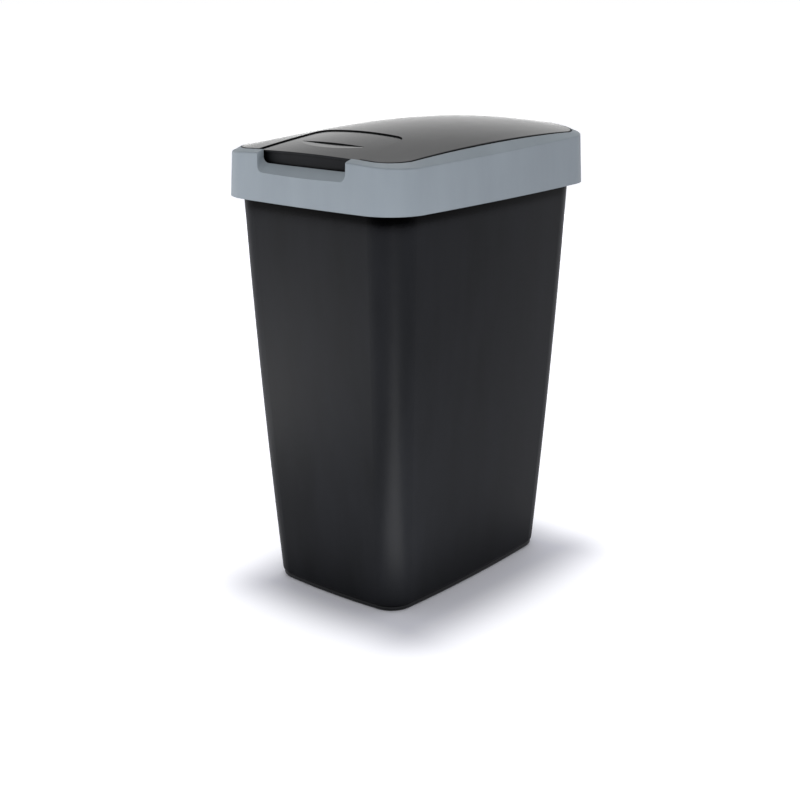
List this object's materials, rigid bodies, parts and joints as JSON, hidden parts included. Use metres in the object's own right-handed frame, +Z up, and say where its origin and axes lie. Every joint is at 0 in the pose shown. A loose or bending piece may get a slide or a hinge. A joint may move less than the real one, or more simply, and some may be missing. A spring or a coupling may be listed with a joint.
{
  "type": "touch-lid waste bin",
  "caption": "Tapered rectangular household waste bin with a lift-off rim frame, a domed hinged lid, and a press panel at the front that unlatches it.",
  "frame": {"origin": "on the floor, under the centre of the rim frame", "axes": "+Z up, -Y to the front where the press panel is, +X to the right of someone who faces the front"},
  "size_m": [0.262, 0.3608, 0.5154],
  "materials": {
    "black_plastic": "moulded polypropylene, satin black",
    "grey_plastic": "moulded polypropylene, matt cool grey",
    "lid_plastic": "moulded polypropylene, satin black",
    "steel": "drawn steel wire, bright",
    "spring_steel": "spring steel wire"
  },
  "bodies": {
    "bucket": {"bin_body": "black_plastic"},
    "rim": {"rim_frame": "grey_plastic", "hinge_pin_left": "steel", "hinge_pin_right": "steel", "hinge_spring_left": "spring_steel", "hinge_spring_right": "spring_steel"},
    "lid": {"lid": "lid_plastic", "panel_pin_left": "steel", "panel_pin_right": "steel", "panel_spring_left": "spring_steel", "panel_spring_right": "spring_steel"},
    "panel": {"press_panel": "lid_plastic"}
  },
  "joints": [
    {"name": "rim_lift", "type": "slide", "parent": "bucket", "child": "rim", "axis": [0, 0, 1], "range_m": [0, 0.06]},
    {"name": "lid_hinge", "type": "hinge", "parent": "rim", "child": "lid", "pos_m": [0, 0.1413, 0.50051], "axis": [-1, 0, 0], "range_deg": [0, 80], "deforming": ["hinge_spring_left", "hinge_spring_right"]},
    {"name": "panel_press", "type": "hinge", "parent": "lid", "child": "panel", "pos_m": [0, -0.088, 0.49703], "axis": [1, 0, 0], "range_deg": [0, 3.6], "stiffness_Nm_per_rad": 2.5, "springref_deg": -2.29, "deforming": ["panel_spring_left", "panel_spring_right"]}
  ]
}
